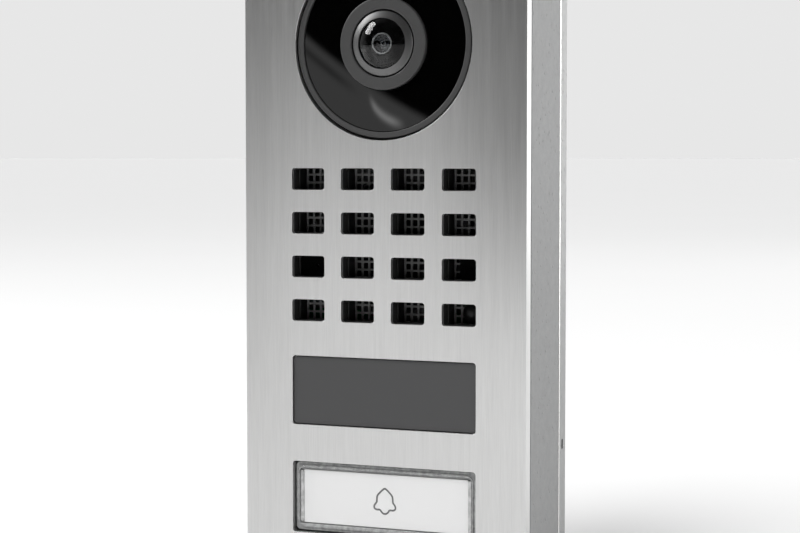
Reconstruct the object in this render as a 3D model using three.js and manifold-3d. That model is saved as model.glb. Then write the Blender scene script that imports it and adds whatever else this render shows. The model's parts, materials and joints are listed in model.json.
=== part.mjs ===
// A surface-mounted door intercom panel: brushed steel front plate, camera, speaker behind a slotted
// grille, dark reader window, call button, grey housing and a wall plate that it hooks onto.
//
// Millimetres. +X is to the right of someone facing the panel, +Z is up, +Y goes into the wall.
// The origin is the middle of the wall plate's rear face, so the front face lies at y = -DEPTH.
import * as THREE from "three";
import { mergeVertices } from "three/addons/utils/BufferGeometryUtils.js";
import Module from "manifold-3d";

const wasm = await Module();
wasm.setup();

// ---------------------------------------------------------------- driving dimensions
const WIDTH = 75;
const HEIGHT = 172;
const DEPTH = 30;
const GAP = 0.1; // between parts that lie on each other
const EDGE_R = 1.2; // corner radius of the front plate
const CASING_R = 1.6; // corner radius of the housing and the wall plate
const PLAY = 0.4; // how much smaller a drop-in part is than its opening

const PLATE_THICK = 3;
const GASKET_THICK = 0.7;
const GASKET_RIM = 2;
const HOUSING_FRONT = PLATE_THICK + GASKET_THICK + GAP;
const HOUSING_BACK = 24.6;
const HOUSING_WALL = 2;
const HOUSING_FLOOR = 22.4; // depth of the inner face of the housing's back wall
const WALL_PLATE_FRONT = 25;
const WALL_PLATE_FLOOR = 28;

const CAMERA_Z = 48.8;
const CAMERA_HOLE_R = 23.45;
const BEZEL_R = 23.05;
const WINDOW_R = 21.5;
const CAMERA_STEPS = 36; // sides of the camera's large rings
const SHROUD_R = 11.35;
const BARREL_R = 8;
const LENS_R = 6.15;
const IR_LEDS = 4;
const IR_LED_RING_R = 16.3;
const FILTER_TRAVEL = 5.6;

const GRID_Z = -0.7;
const GRID_SIZE = 4; // rows and columns of slots
const COLUMN_PITCH = 13.44;
const ROW_PITCH = 10.91;
const SLOT_W = 8.9;
const SLOT_H = 5.4;
const SLOT_R = 0.7;
const POCKET_W = SLOT_W + PLAY;
const POCKET_H = SLOT_H + PLAY;
const MESH_PITCH = 2; // between the rows of holes behind a slot
const MESH_HOLE = 1.4;
const CARRIER_FRONT = 3.3;
const CARRIER_BACK = 9;

const OPENING_W = 49.2; // width shared by the grid, the reader window and the call button
const READER_Z = -37.15;
const READER_H = 17.3;
const BUTTON_Z = -64.05;
const BUTTON_H = 17.9;

const SCREW_X = 31.4;
const SCREW_Z = 80.2;
const HOOK_X = 20;
const WALL_SCREW_X = 24;
const WALL_SCREW_Z = [46, -58];
const NOTCH_Z = -51; // of the pry notches in the wall plate's sides
const CABLE_Z = -30;
const LUG_Z = -79.6;
const LOCK_SCREW_DEPTH = 20;
const SEAL_GROOVE = 1.2;
const SEAL_RIM = 2;

const SWITCH_X = 12;
const SPRING_X = 19;
const BOARD_THICK = 1.2;
const FRONT_BOARD = 11.1; // depth of the front face of the board behind the reader and the button
const MAIN_BOARD = 15;
const CAMERA_BOARD = 19.4;
const MAIN_BOARD_POSTS = { x: [-29, 29], z: [-22.5, -70.9] };
const CAMERA_BOARD_POSTS = { x: [-14, 18], z: [37, 61] };

// ---------------------------------------------------------------- materials
const finish = (color, roughness, metalness = 0) =>
  new THREE.MeshStandardMaterial({ color, roughness, metalness });
const FINISHES = {
  brushedSteel: finish(0xb9b9b7, 0.35, 1),
  screwSteel: finish(0xc4c4c4, 0.3, 1),
  housingGrey: finish(0xa2a4a4, 0.55, 0.4),
  plateGrey: finish(0xb2b4b5, 0.5, 0.4),
  rubber: finish(0x161616, 0.9),
  greyRubber: finish(0x8a8a8a, 0.8),
  trimGrey: finish(0x474747, 0.6),
  gloss: finish(0x050505, 0.05),
  barrelGrey: finish(0x8a8a8a, 0.4, 0.5),
  glass: finish(0x101418, 0.02),
  blackPlastic: finish(0x1b1b1b, 0.7),
  meshGrey: finish(0x3c3c3c, 0.7),
  readerGrey: finish(0x4a4a4a, 0.45),
  clear: finish(0xdfe3e4, 0.1),
  label: finish(0xf0f0f0, 0.6),
  diffuser: finish(0xbfc1c2, 0.5),
  board: finish(0x1e5a37, 0.6),
  tin: finish(0xb8b8b4, 0.4, 0.9),
  copper: finish(0xa5622f, 0.4, 0.9),
  magnet: finish(0x5a5c60, 0.5, 0.7),
  paper: finish(0x2a2724, 0.85),
  led: finish(0xe8e6dc, 0.3),
  filterGlass: finish(0x6fa7a8, 0.05),
  terminalGreen: finish(0x2f7d4a, 0.6),
};

// ---------------------------------------------------------------- shape helpers
// Depths are measured from the front face of the plate, towards the wall.
const yAt = (depth) => -DEPTH + depth;

// Merges a geometry's points and turns its faces outwards.
function closed(geometry) {
  let bare = geometry.clone();
  bare.deleteAttribute("normal");
  bare.deleteAttribute("uv");
  bare = mergeVertices(bare, 1e-4);
  const p = bare.getAttribute("position");
  const index = bare.index.array;
  const [a, b, c] = [new THREE.Vector3(), new THREE.Vector3(), new THREE.Vector3()];
  let volume = 0;
  for (let i = 0; i < index.length; i += 3) {
    a.fromBufferAttribute(p, index[i]);
    b.fromBufferAttribute(p, index[i + 1]);
    c.fromBufferAttribute(p, index[i + 2]);
    volume += a.dot(b.cross(c));
  }
  if (volume < 0) {
    for (let i = 0; i < index.length; i += 3) {
      const first = index[i];
      index[i] = index[i + 1];
      index[i + 1] = first;
    }
  }
  return bare;
}

function toManifold(geometry) {
  const g = closed(geometry);
  return new wasm.Manifold(
    new wasm.Mesh({
      numProp: 3,
      vertProperties: g.getAttribute("position").array,
      triVerts: new Uint32Array(g.index.array),
    }),
  );
}

function toGeometry(manifold) {
  const mesh = manifold.getMesh();
  return new THREE.BufferGeometry()
    .setAttribute("position", new THREE.BufferAttribute(mesh.vertProperties, 3))
    .setIndex(new THREE.BufferAttribute(mesh.triVerts, 1));
}

const join = (...pieces) => toGeometry(pieces.map(toManifold).reduce((a, b) => a.add(b)));
const cut = (base, ...tools) =>
  toGeometry(tools.map(toManifold).reduce((a, b) => a.subtract(b), toManifold(base)));

// Appends a rounded rectangle, centred on (x, z), to a Shape or a Path.
function roundedRectangle(path, x, z, w, h, r, steps = 3) {
  const corners = [
    [x + w / 2 - r, z - h / 2 + r, -Math.PI / 2],
    [x + w / 2 - r, z + h / 2 - r, 0],
    [x - w / 2 + r, z + h / 2 - r, Math.PI / 2],
    [x - w / 2 + r, z - h / 2 + r, Math.PI],
  ];
  const points = corners.flatMap(([cx, cz, from]) =>
    Array.from({ length: steps + 1 }, (_, i) => {
      const angle = from + (i * Math.PI) / 2 / steps;
      return new THREE.Vector2(cx + r * Math.cos(angle), cz + r * Math.sin(angle));
    }),
  );
  path.setFromPoints(points);
  return path;
}

function circle(path, x, z, r, steps = 32) {
  path.setFromPoints(
    Array.from({ length: steps }, (_, i) => {
      const angle = (i * 2 * Math.PI) / steps;
      return new THREE.Vector2(x + r * Math.cos(angle), z + r * Math.sin(angle));
    }),
  );
  return path;
}

// Extrudes a face outline from one depth to a greater one.
function slab(shape, front, back) {
  const geometry = new THREE.ExtrudeGeometry(shape, { depth: back - front, bevelEnabled: false });
  geometry.rotateX(Math.PI / 2);
  geometry.translate(0, yAt(back), 0);
  return geometry;
}

const block = (x, z, w, h, front, back) =>
  new THREE.BoxGeometry(w, back - front, h).translate(x, yAt((front + back) / 2), z);

const roundedBlock = (x, z, w, h, r, front, back, steps = 3) =>
  slab(roundedRectangle(new THREE.Shape(), x, z, w, h, r, steps), front, back);

// Turns a profile of [radius, depth] points about an axis along Y.
function turned(x, z, profile, steps = 32) {
  const points = profile.map(([r, depth]) => new THREE.Vector2(r, yAt(depth)));
  return new THREE.LatheGeometry(points, steps).translate(x, 0, z);
}

const disc = (x, z, r, front, back, steps = 24) =>
  turned(x, z, [[0, front], [r, front], [r, back], [0, back]], steps);

// A turned ring of rectangular section.
const collar = (x, z, inner, outer, front, back, steps = 32) =>
  turned(x, z, [[inner, front], [outer, front], [outer, back], [inner, back], [inner, front]], steps);

// [radius, depth] points along a circular arc that starts on the axis at apex and ends at (radius, edge).
function dome(radius, apex, edge, steps) {
  const rise = edge - apex;
  const sphere = (radius * radius + rise * rise) / (2 * rise);
  const sweep = Math.asin(radius / sphere);
  return Array.from({ length: steps + 1 }, (_, i) => {
    const angle = (sweep * i) / steps;
    return [sphere * Math.sin(angle), apex + sphere * (1 - Math.cos(angle))];
  });
}

// ---------------------------------------------------------------- the assembly
const panel = new THREE.Group();

function add(name, geometry, material) {
  const mesh = new THREE.Mesh(closed(geometry), material);
  mesh.name = name;
  panel.add(mesh);
}

const SIDES = [
  ["left", -1],
  ["right", 1],
];
const CORNERS = [
  [-SCREW_X, SCREW_Z],
  [SCREW_X, SCREW_Z],
  [-SCREW_X, -SCREW_Z],
  [SCREW_X, -SCREW_Z],
];
const spread = (count, pitch) => Array.from({ length: count }, (_, i) => (i - (count - 1) / 2) * pitch);
const COLUMNS = spread(GRID_SIZE, COLUMN_PITCH);
const ROWS = spread(GRID_SIZE, -ROW_PITCH).map((z) => GRID_Z + z);
const SLOTS = ROWS.flatMap((z) => COLUMNS.map((x) => [x, z]));
const MICROPHONE = SLOTS[8];
const INFRARED_RECEIVER = SLOTS[11];
const LIGHT_SENSOR = SLOTS[15];

// ---------------------------------------------------------------- casings and seals
function frontPlate() {
  const shape = roundedRectangle(new THREE.Shape(), 0, 0, WIDTH, HEIGHT, EDGE_R);
  shape.holes.push(circle(new THREE.Path(), 0, CAMERA_Z, CAMERA_HOLE_R, CAMERA_STEPS));
  const pierce = (x, z, w, h, r, steps) =>
    shape.holes.push(roundedRectangle(new THREE.Path(), x, z, w, h, r, steps));
  SLOTS.forEach(([x, z]) => pierce(x, z, SLOT_W, SLOT_H, SLOT_R, 1));
  pierce(0, READER_Z, OPENING_W, READER_H, 0.8, 2);
  pierce(0, BUTTON_Z, OPENING_W, BUTTON_H, 0.8, 2);
  const studs = CORNERS.map(([x, z]) =>
    turned(x, z, [[0, 2.5], [3, 2.5], [3, 9], [1.55, 9], [1.55, 4], [0, 4]], 10),
  );
  return join(slab(shape, 0, PLATE_THICK), ...studs);
}

// A flat frame between an outer and an inner rounded rectangle.
function frameSlab(w, h, r, rim, front, back) {
  const shape = roundedRectangle(new THREE.Shape(), 0, 0, w, h, r);
  shape.holes.push(roundedRectangle(new THREE.Path(), 0, 0, w - 2 * rim, h - 2 * rim, r / 2));
  return slab(shape, front, back);
}

function housing() {
  const w = WIDTH - 2 * GAP;
  const h = HEIGHT - 2 * GAP;
  const shell = cut(
    roundedBlock(0, 0, w, h, CASING_R, HOUSING_FRONT, HOUSING_BACK),
    roundedBlock(0, 0, w - 2 * HOUSING_WALL, h - 2 * HOUSING_WALL, 1, HOUSING_FRONT - 1, HOUSING_FLOOR),
  );
  const bosses = CORNERS.map(([x, z]) => disc(x, z, 4.2, 9.3, HOUSING_FLOOR + 1, 12));
  // Posts under the corners of a board whose front face is at the given depth.
  const boardPosts = (board, posts) =>
    posts.x.flatMap((x) =>
      posts.z.map((z) => disc(x, z, 2.2, board + BOARD_THICK + 2 * GAP, HOUSING_FLOOR + 1, 8)),
    );
  const lockBoss = block(0, -h / 2 + 2.6, 12, 4, LOCK_SCREW_DEPTH - 5, HOUSING_FLOOR + 1);
  const screwWays = CORNERS.flatMap(([x, z]) => [
    disc(x, z, 1.75, 9, HOUSING_BACK + 1, 12),
    disc(x, z, 3.1, HOUSING_FLOOR, HOUSING_BACK + 1, 12),
  ]);
  const hookSlots = SIDES.map(([, side]) =>
    block(side * HOOK_X, 68, 13, 8, HOUSING_FLOOR - 1, HOUSING_BACK + 1),
  );
  return cut(
    join(
      shell,
      ...bosses,
      ...boardPosts(MAIN_BOARD, MAIN_BOARD_POSTS),
      ...boardPosts(CAMERA_BOARD, CAMERA_BOARD_POSTS),
      lockBoss,
    ),
    ...screwWays,
    ...hookSlots,
    disc(0, CABLE_Z, 8, HOUSING_FLOOR - 1, HOUSING_BACK + 1, 24),
    block(0, LUG_Z, 13, 3.2, HOUSING_FLOOR - 1, HOUSING_BACK + 1),
    lockScrewWay(3.75, -h / 2 - 1, -h / 2 + 2.5),
    lockScrewWay(2.25, -h / 2, -h / 2 + 7),
  );
}

// A vertical cylinder on the lock screw's axis.
const lockScrewWay = (r, bottom, top) =>
  new THREE.CylinderGeometry(r, r, top - bottom, 20)
    .rotateX(Math.PI / 2)
    .translate(0, yAt(LOCK_SCREW_DEPTH), (bottom + top) / 2);

function wallPlate() {
  const rim = 2;
  const bevel = 0.5;
  const tray = cut(
    join(
      roundedBlock(0, 0, WIDTH, HEIGHT, CASING_R, WALL_PLATE_FRONT + bevel, DEPTH),
      new THREE.ExtrudeGeometry(
        roundedRectangle(new THREE.Shape(), 0, 0, WIDTH - 2 * bevel, HEIGHT - 2 * bevel, EDGE_R),
        { depth: 0.2, bevelEnabled: true, bevelThickness: bevel, bevelSize: bevel, bevelSegments: 1 },
      )
        .rotateX(Math.PI / 2)
        .translate(0, yAt(WALL_PLATE_FRONT + bevel + 0.2), 0),
    ),
    roundedBlock(0, 0, WIDTH - 2 * rim, HEIGHT - 2 * rim, 1, WALL_PLATE_FRONT - 1, WALL_PLATE_FLOOR),
  );
  const hooks = SIDES.flatMap(([, side]) => [
    block(side * HOOK_X, 70.8, 12, 1.6, 20.4, WALL_PLATE_FLOOR + 1),
    block(side * HOOK_X, 73, 12, 6, 20.4, 22),
  ]);
  const lug = block(0, LUG_Z, 12, 2.4, 16.6, WALL_PLATE_FLOOR + 1);
  const screwSlots = SIDES.flatMap(([, side]) =>
    WALL_SCREW_Z.map((z) =>
      roundedBlock(side * WALL_SCREW_X, z, 3.8, 9, 1.89, WALL_PLATE_FLOOR - 1, DEPTH + 1, 4),
    ),
  );
  const sideNotches = SIDES.map(([, side]) => block((side * WIDTH) / 2, NOTCH_Z, 2, 2.4, 26.6, 27.8));
  return cut(
    join(tray, ...hooks, lug),
    ...screwSlots,
    ...sideNotches,
    disc(0, CABLE_Z, 11, WALL_PLATE_FLOOR - 1, DEPTH + 1, 32),
    lockScrewWay(2.1, LUG_Z - 3, LUG_Z + 3),
    frameSlab(WIDTH - 4.4, HEIGHT - 4.4, 1.2, SEAL_RIM + PLAY, DEPTH - SEAL_GROOVE, DEPTH + 1),
  );
}

add("front_plate", frontPlate(), FINISHES.brushedSteel);
add(
  "front_gasket",
  frameSlab(
    WIDTH - 3 * GAP,
    HEIGHT - 3 * GAP,
    EDGE_R,
    GASKET_RIM,
    PLATE_THICK + GAP / 2,
    HOUSING_FRONT - GAP / 2,
  ),
  FINISHES.greyRubber,
);
add("housing", housing(), FINISHES.housingGrey);
add("wall_plate", wallPlate(), FINISHES.plateGrey);
add(
  "wall_seal",
  frameSlab(WIDTH - 4.8, HEIGHT - 4.8, 1.1, SEAL_RIM, DEPTH - SEAL_GROOVE + GAP, DEPTH - GAP / 2),
  FINISHES.rubber,
);
add(
  "cable_seal_ring",
  collar(0, CABLE_Z, 12, 15.5, HOUSING_BACK + GAP, WALL_PLATE_FLOOR - GAP),
  FINISHES.rubber,
);
add(
  "cable_grommet",
  turned(
    0,
    CABLE_Z,
    [
      [3.5, 22.9], [6.3, 22.9], [6.3, 21.2], [9.8, 21.2], [9.8, 22.3], [7.9, 22.3], [7.9, 24.7],
      [9.8, 24.7], [9.8, 25.9], [6.3, 25.9], [6.3, 24], [3.5, 24], [3.5, 22.9],
    ],
    20,
  ),
  FINISHES.rubber,
);

// ---------------------------------------------------------------- fasteners
CORNERS.forEach(([x, z], i) =>
  add(
    `housing_screw_${i + 1}`,
    turned(
      x,
      z,
      [
        [0, 5], [1.45, 5], [1.45, 22.5], [2.75, 22.5], [2.75, 24.4], [1.2, 24.4], [1.2, 23.4],
        [0, 23.4],
      ],
      12,
    ),
    FINISHES.screwSteel,
  ),
);

function lockScrew() {
  const bottom = -HEIGHT / 2 + 0.3;
  const profile = [
    [0, 1.2], [0.8, 1.2], [0.8, 0.5], [1.2, 0.5], [1.2, 0], [3.4, 0], [3.4, 2.1], [1.95, 2.1],
    [1.95, 9.4], [1.4, 10], [0, 10],
  ];
  return new THREE.LatheGeometry(profile.map(([r, up]) => new THREE.Vector2(r, up)), 16)
    .rotateX(Math.PI / 2)
    .translate(0, yAt(LOCK_SCREW_DEPTH), bottom);
}
add("security_screw", lockScrew(), FINISHES.screwSteel);

// ---------------------------------------------------------------- camera
const camera = (name, profile, material, steps = CAMERA_STEPS) =>
  add(name, turned(0, CAMERA_Z, profile, steps), material);

camera(
  "camera_bezel",
  [
    [WINDOW_R + GAP, 0.6], [BEZEL_R, 0.6], [BEZEL_R, 3.1], [26, 3.1], [26, 4.3],
    [WINDOW_R + GAP, 4.3], [WINDOW_R + GAP, 0.6],
  ],
  FINISHES.trimGrey,
);
camera(
  "camera_window",
  [
    [SHROUD_R + GAP, 1.2], [WINDOW_R, 1.2], [WINDOW_R, 4.4], [24.5, 4.4], [24.5, 5.4], [20.2, 5.4],
    [20.2, 3], [SHROUD_R + GAP, 3], [SHROUD_R + GAP, 1.2],
  ],
  FINISHES.gloss,
);
camera(
  "window_seal",
  Array.from({ length: 7 }, (_, i) => {
    const angle = (i * Math.PI) / 3;
    return [23 + 0.48 * Math.cos(angle), 5.95 + 0.48 * Math.sin(angle)];
  }),
  FINISHES.rubber,
  32,
);
camera(
  "lens_shroud",
  [
    [8.2, 0.4], [8.5, 0.05], [11, 0.05], [SHROUD_R, 0.4], [SHROUD_R, 6.6], [8.2, 6.6],
    [8.2, 0.4],
  ],
  FINISHES.trimGrey,
);
camera(
  "lens_barrel",
  [
    [6.25, -0.45], [BARREL_R, 0.35], [BARREL_R, 7.2], [6, 8], [6, 16.2], [4.6, 16.2], [4.6, 1.6],
    [6.25, 1.6], [6.25, -0.45],
  ],
  FINISHES.barrelGrey,
  28,
);
camera(
  "front_lens",
  [...dome(LENS_R, -2.05, -0.05, 4), [LENS_R, 1.5], [4.7, 1.5], ...dome(4, -0.8, 1.1, 2).reverse()],
  FINISHES.glass,
  28,
);
camera("inner_lens", [...dome(4.3, 3.3, 4.4, 3), [4.3, 5.4], [0, 5.4]], FINISHES.glass, 20);

add("ir_led_board", collar(0, CAMERA_Z, 12.2, 20.8, 7.7, 8.7, 36), FINISHES.board);
for (let i = 0; i < IR_LEDS; i += 1) {
  const angle = ((i + 0.5) * 2 * Math.PI) / IR_LEDS;
  const x = IR_LED_RING_R * Math.cos(angle);
  const z = CAMERA_Z + IR_LED_RING_R * Math.sin(angle);
  const profile = [...dome(1.5, 5.8, 6.8, 2), [2, 6.8], [2, 7.6], [0, 7.6]];
  add(`ir_led_${i + 1}`, turned(x, z, profile, 12), FINISHES.led);
}

function lensHolder() {
  return cut(
    block(0, CAMERA_Z, 26, 18, 9.6, 19.2),
    disc(0, CAMERA_Z, 6.2, 9, 16.5, 32),
    block(0, CAMERA_Z, 18.4, 10, 16.4, 18.1),
    block(0, CAMERA_Z, 11, 10, 18, 20),
  );
}
add("lens_holder", lensHolder(), FINISHES.blackPlastic);

// The shuttle holds two small windows side by side; it slides by one window's pitch.
const FILTERS = [
  ["ir_cut_glass", 0, FINISHES.filterGlass],
  ["clear_glass", -FILTER_TRAVEL, FINISHES.clear],
];
add(
  "filter_shuttle",
  cut(
    block(-FILTER_TRAVEL / 2, CAMERA_Z, 12.4, 8.8, 16.7, 17.7),
    ...FILTERS.map(([, x]) => block(x, CAMERA_Z, 5.2, 6.2, 16, 18)),
  ),
  FINISHES.blackPlastic,
);
for (const [name, x, material] of FILTERS) add(name, block(x, CAMERA_Z, 5, 6, 16.9, 17.5), material);
add("filter_coil", block(16.2, CAMERA_Z, 5, 8, 14.6, 19.2), FINISHES.copper);
add("image_sensor", block(0, CAMERA_Z, 9, 8, 18.3, 19.3), FINISHES.blackPlastic);
add(
  "camera_board",
  roundedBlock(2, CAMERA_Z, 38, 30, 2, CAMERA_BOARD, CAMERA_BOARD + BOARD_THICK),
  FINISHES.board,
);

// ---------------------------------------------------------------- carrier and grille
function innerCarrier() {
  const sheet = roundedRectangle(new THREE.Shape(), 0, 0, 68, 159, 2);
  sheet.holes.push(roundedRectangle(new THREE.Path(), 0, READER_Z, 50, 17, 1));
  sheet.holes.push(roundedRectangle(new THREE.Path(), 0, BUTTON_Z, 56.8, 24.8, 1));
  const body = join(
    slab(sheet, 7.6, CARRIER_BACK),
    disc(0, CAMERA_Z, 25.5, 6.5, CARRIER_BACK, 40),
    block(0, GRID_Z, 56, 42.5, CARRIER_FRONT, CARRIER_BACK),
  );
  const pockets = SLOTS.map(([x, z]) => block(x, z, POCKET_W, POCKET_H, 3, CARRIER_BACK + 1));
  const studCorners = CORNERS.map(([x, z]) => disc(x, z, 3.5, 7, CARRIER_BACK + 1, 12));
  return cut(body, disc(0, CAMERA_Z, 21.3, 6, CARRIER_BACK + 1, 40), ...pockets, ...studCorners);
}
add("inner_carrier", innerCarrier(), FINISHES.blackPlastic);

// Rows of narrow holes behind every pocket but the microphone's and the infrared receiver's.
function speakerMesh() {
  const front = CARRIER_BACK + GAP;
  const sheet = roundedBlock(0, GRID_Z, 54, 41, 1, front, front + 0.6);
  const soundSlots = SLOTS.filter((slot) => slot !== MICROPHONE && slot !== INFRARED_RECEIVER);
  const holes = soundSlots.flatMap(([x, z]) =>
    spread(3, MESH_PITCH).map((dz) => block(x, z + dz, 8.7, MESH_HOLE, front - 1, front + 1)),
  );
  return cut(sheet, ...holes);
}
add("speaker_mesh", speakerMesh(), FINISHES.meshGrey);

// ---------------------------------------------------------------- speaker, microphone, sensors
const speaker = (name, profile, material) => add(name, turned(0, GRID_Z, profile, 24), material);
speaker(
  "speaker_basket",
  [
    [16.8, 9.9], [19.5, 9.9], [19.5, 11.2], [17.8, 11.2], [11.6, 17.6], [8, 17.6], [8, 16.6],
    [11, 16.6], [16.8, 11.2], [16.8, 9.9],
  ],
  FINISHES.blackPlastic,
);
speaker(
  "speaker_magnet",
  [
    [0, 15.8], [5.8, 15.8], [5.8, 19.6], [7.4, 19.6], [7.4, 17.7], [9.6, 17.7], [9.6, 21.2],
    [0, 21.2],
  ],
  FINISHES.magnet,
);
speaker(
  "speaker_cone",
  [...dome(6, 11.4, 13.2, 3), [14.6, 10.7], [14.6, 11.2], [7, 13.8], [5.6, 13.8], [0, 12]],
  FINISHES.paper,
);
speaker("voice_coil", [[6.2, 13.9], [7, 13.9], [7, 18.6], [6.2, 18.6], [6.2, 13.9]], FINISHES.copper);
speaker(
  "speaker_surround",
  [
    [14.7, 10.5], [15.3, 10], [16.1, 10], [16.7, 10.5], [16.7, 11], [16, 10.5], [15.4, 10.5],
    [14.7, 11], [14.7, 10.5],
  ],
  FINISHES.rubber,
);
add(
  "microphone_boot",
  cut(
    block(...MICROPHONE, POCKET_W - PLAY, POCKET_H - PLAY, 5.5, CARRIER_BACK),
    disc(...MICROPHONE, 0.7, 5, 7, 10),
    disc(...MICROPHONE, 2.15, 6.8, 10, 20),
  ),
  FINISHES.rubber,
);
add("microphone", disc(...MICROPHONE, 2, 6.95, 8.9, 20), FINISHES.tin);
add(
  "infrared_receiver",
  block(INFRARED_RECEIVER[0] + 1.3, INFRARED_RECEIVER[1], 6.3, POCKET_H - PLAY, 5.5, CARRIER_BACK),
  FINISHES.gloss,
);
add(
  "light_sensor",
  turned(
    LIGHT_SENSOR[0] + 1,
    LIGHT_SENSOR[1],
    [...dome(2.6, 5.4, 6.9, 4), [2.6, CARRIER_BACK], [0, CARRIER_BACK]],
    20,
  ),
  FINISHES.readerGrey,
);

// ---------------------------------------------------------------- reader window
add(
  "reader_window",
  join(
    roundedBlock(0, READER_Z, OPENING_W - PLAY, READER_H - PLAY, 0.7, 0.5, 3.6, 2),
    roundedBlock(0, READER_Z, 53, 20.6, 1, PLATE_THICK + GAP, 4.4, 2),
  ),
  FINISHES.readerGrey,
);
add(
  "front_board",
  roundedBlock(0, (READER_Z + BUTTON_Z) / 2, 60, 48, 1.5, FRONT_BOARD, FRONT_BOARD + BOARD_THICK),
  FINISHES.board,
);

// ---------------------------------------------------------------- call button
const CAP_W = OPENING_W - 0.6;
const CAP_H = BUTTON_H - 0.6;
const WELL_W = 44.6;
const WELL_H = 13.8;

function buttonCap() {
  return cut(
    join(
      roundedBlock(0, BUTTON_Z, CAP_W - 1.6, CAP_H - 1.6, 2.4, 0.2, 2),
      roundedBlock(0, BUTTON_Z, CAP_W, CAP_H, 0.8, 0.9, 3.6),
      roundedBlock(0, BUTTON_Z, 51.6, 20.2, 1, 3.3, 4.5),
      roundedBlock(0, BUTTON_Z, 49, 17.6, 1, 4.2, 6.2),
    ),
    block(0, BUTTON_Z, WELL_W, WELL_H, 1.8, 7),
  );
}
add("button_cap", buttonCap(), FINISHES.clear);
add("nameplate", block(0, BUTTON_Z, WELL_W - PLAY, WELL_H - PLAY, 1.9, 2.25), FINISHES.label);
add(
  "button_diffuser",
  join(
    block(0, BUTTON_Z, WELL_W - PLAY, WELL_H - PLAY, 2.35, 6.6),
    ...SIDES.flatMap(([, side]) => [
      disc(side * SWITCH_X, BUTTON_Z, 1.5, 6, 7.9, 16),
      disc(side * SPRING_X, BUTTON_Z, 1.2, 6, 8.6, 12),
    ]),
  ),
  FINISHES.diffuser,
);

function buttonGuide() {
  return cut(
    roundedBlock(0, BUTTON_Z, 56, 24, 1, PLATE_THICK + 0.2, FRONT_BOARD - GAP),
    roundedBlock(0, BUTTON_Z, 52.4, 20.8, 1, 2, 5.7),
    roundedBlock(0, BUTTON_Z, 49.8, 18.2, 1, 5, FRONT_BOARD + 1),
  );
}
add("button_guide", buttonGuide(), FINISHES.blackPlastic);

// A coil spring along Y, from one depth to another.
class Helix extends THREE.Curve {
  constructor(x, z, radius, front, back, turns) {
    super();
    Object.assign(this, { x, z, radius, front, back, turns });
  }
  getPoint(t, target = new THREE.Vector3()) {
    const angle = 2 * Math.PI * this.turns * t;
    return target.set(
      this.x + this.radius * Math.cos(angle),
      yAt(this.front + (this.back - this.front) * t),
      this.z + this.radius * Math.sin(angle),
    );
  }
}
const WIRE_R = 0.25;

for (const [side, sign] of SIDES) {
  const wire = circle(new THREE.Shape(), 0, 0, WIRE_R, 5);
  const coil = new Helix(sign * SPRING_X, BUTTON_Z, 1.9, 6.7 + WIRE_R, FRONT_BOARD - 0.1 - WIRE_R, 4);
  add(
    `return_spring_${side}`,
    new THREE.ExtrudeGeometry(wire, { steps: 36, extrudePath: coil, bevelEnabled: false }),
    FINISHES.screwSteel,
  );
  add(
    `switch_body_${side}`,
    cut(
      block(sign * SWITCH_X, BUTTON_Z, 6, 6, 8.6, FRONT_BOARD - 0.05),
      disc(sign * SWITCH_X, BUTTON_Z, 1.75, 8, 10.7, 16),
    ),
    FINISHES.blackPlastic,
  );
  add(`switch_plunger_${side}`, disc(sign * SWITCH_X, BUTTON_Z, 1.6, 8.2, 9.9, 16), FINISHES.label);
  add(`backlight_led_${side}`, block(sign * 5, BUTTON_Z, 3, 1.6, 10.2, FRONT_BOARD - 0.05), FINISHES.led);
}

// ---------------------------------------------------------------- main board
add(
  "main_board",
  roundedBlock(0, -46.7, 66, 58, 1.5, MAIN_BOARD, MAIN_BOARD + BOARD_THICK),
  FINISHES.board,
);
add(
  "processor_shield",
  roundedBlock(-14, -44, 22, 18, 0.6, 12.6, MAIN_BOARD - GAP / 2, 1),
  FINISHES.tin,
);

function terminalBlock() {
  const [w, h, front, back] = [30, 8.4, MAIN_BOARD + BOARD_THICK + 0.05, 21.6];
  const wireWays = spread(6, 4.8).map((x) => block(x, -66 + h / 2, 3, 4, 18, 20.4));
  return cut(block(0, -66, w, h, front, back), ...wireWays);
}
add("terminal_block", terminalBlock(), FINISHES.terminalGreen);

export default panel;
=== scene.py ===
"""Door intercom panel: the looks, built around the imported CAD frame.

Metres, +Z up, +X to the right of someone facing the panel, +Y into the wall.
Sizes and radii in this script are in millimetres, and so are depths, which count from the face of the
front plate towards the wall. Places are in metres.
"""

import json
import math

import bmesh
import bpy
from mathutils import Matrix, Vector


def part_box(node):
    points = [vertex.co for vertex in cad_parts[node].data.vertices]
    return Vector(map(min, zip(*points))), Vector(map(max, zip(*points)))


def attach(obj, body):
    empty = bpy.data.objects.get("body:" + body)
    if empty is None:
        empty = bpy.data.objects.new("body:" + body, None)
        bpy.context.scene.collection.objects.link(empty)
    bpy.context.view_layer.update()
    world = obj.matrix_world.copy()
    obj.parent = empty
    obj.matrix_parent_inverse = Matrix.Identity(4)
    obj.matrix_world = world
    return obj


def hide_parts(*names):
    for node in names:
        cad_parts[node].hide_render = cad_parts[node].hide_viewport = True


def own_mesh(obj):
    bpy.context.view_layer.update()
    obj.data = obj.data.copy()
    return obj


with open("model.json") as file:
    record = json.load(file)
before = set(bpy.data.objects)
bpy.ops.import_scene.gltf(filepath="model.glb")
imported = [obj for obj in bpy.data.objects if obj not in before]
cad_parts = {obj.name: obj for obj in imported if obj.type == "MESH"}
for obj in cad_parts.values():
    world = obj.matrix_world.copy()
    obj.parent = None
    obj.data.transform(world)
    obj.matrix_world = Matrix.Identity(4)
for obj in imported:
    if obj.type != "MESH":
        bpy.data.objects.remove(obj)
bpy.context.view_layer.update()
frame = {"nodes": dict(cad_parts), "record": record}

MM = 0.001


def centre_of(node):
    """The middle of a CAD node's box."""
    return sum(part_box(node), Vector()) / 2


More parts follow.
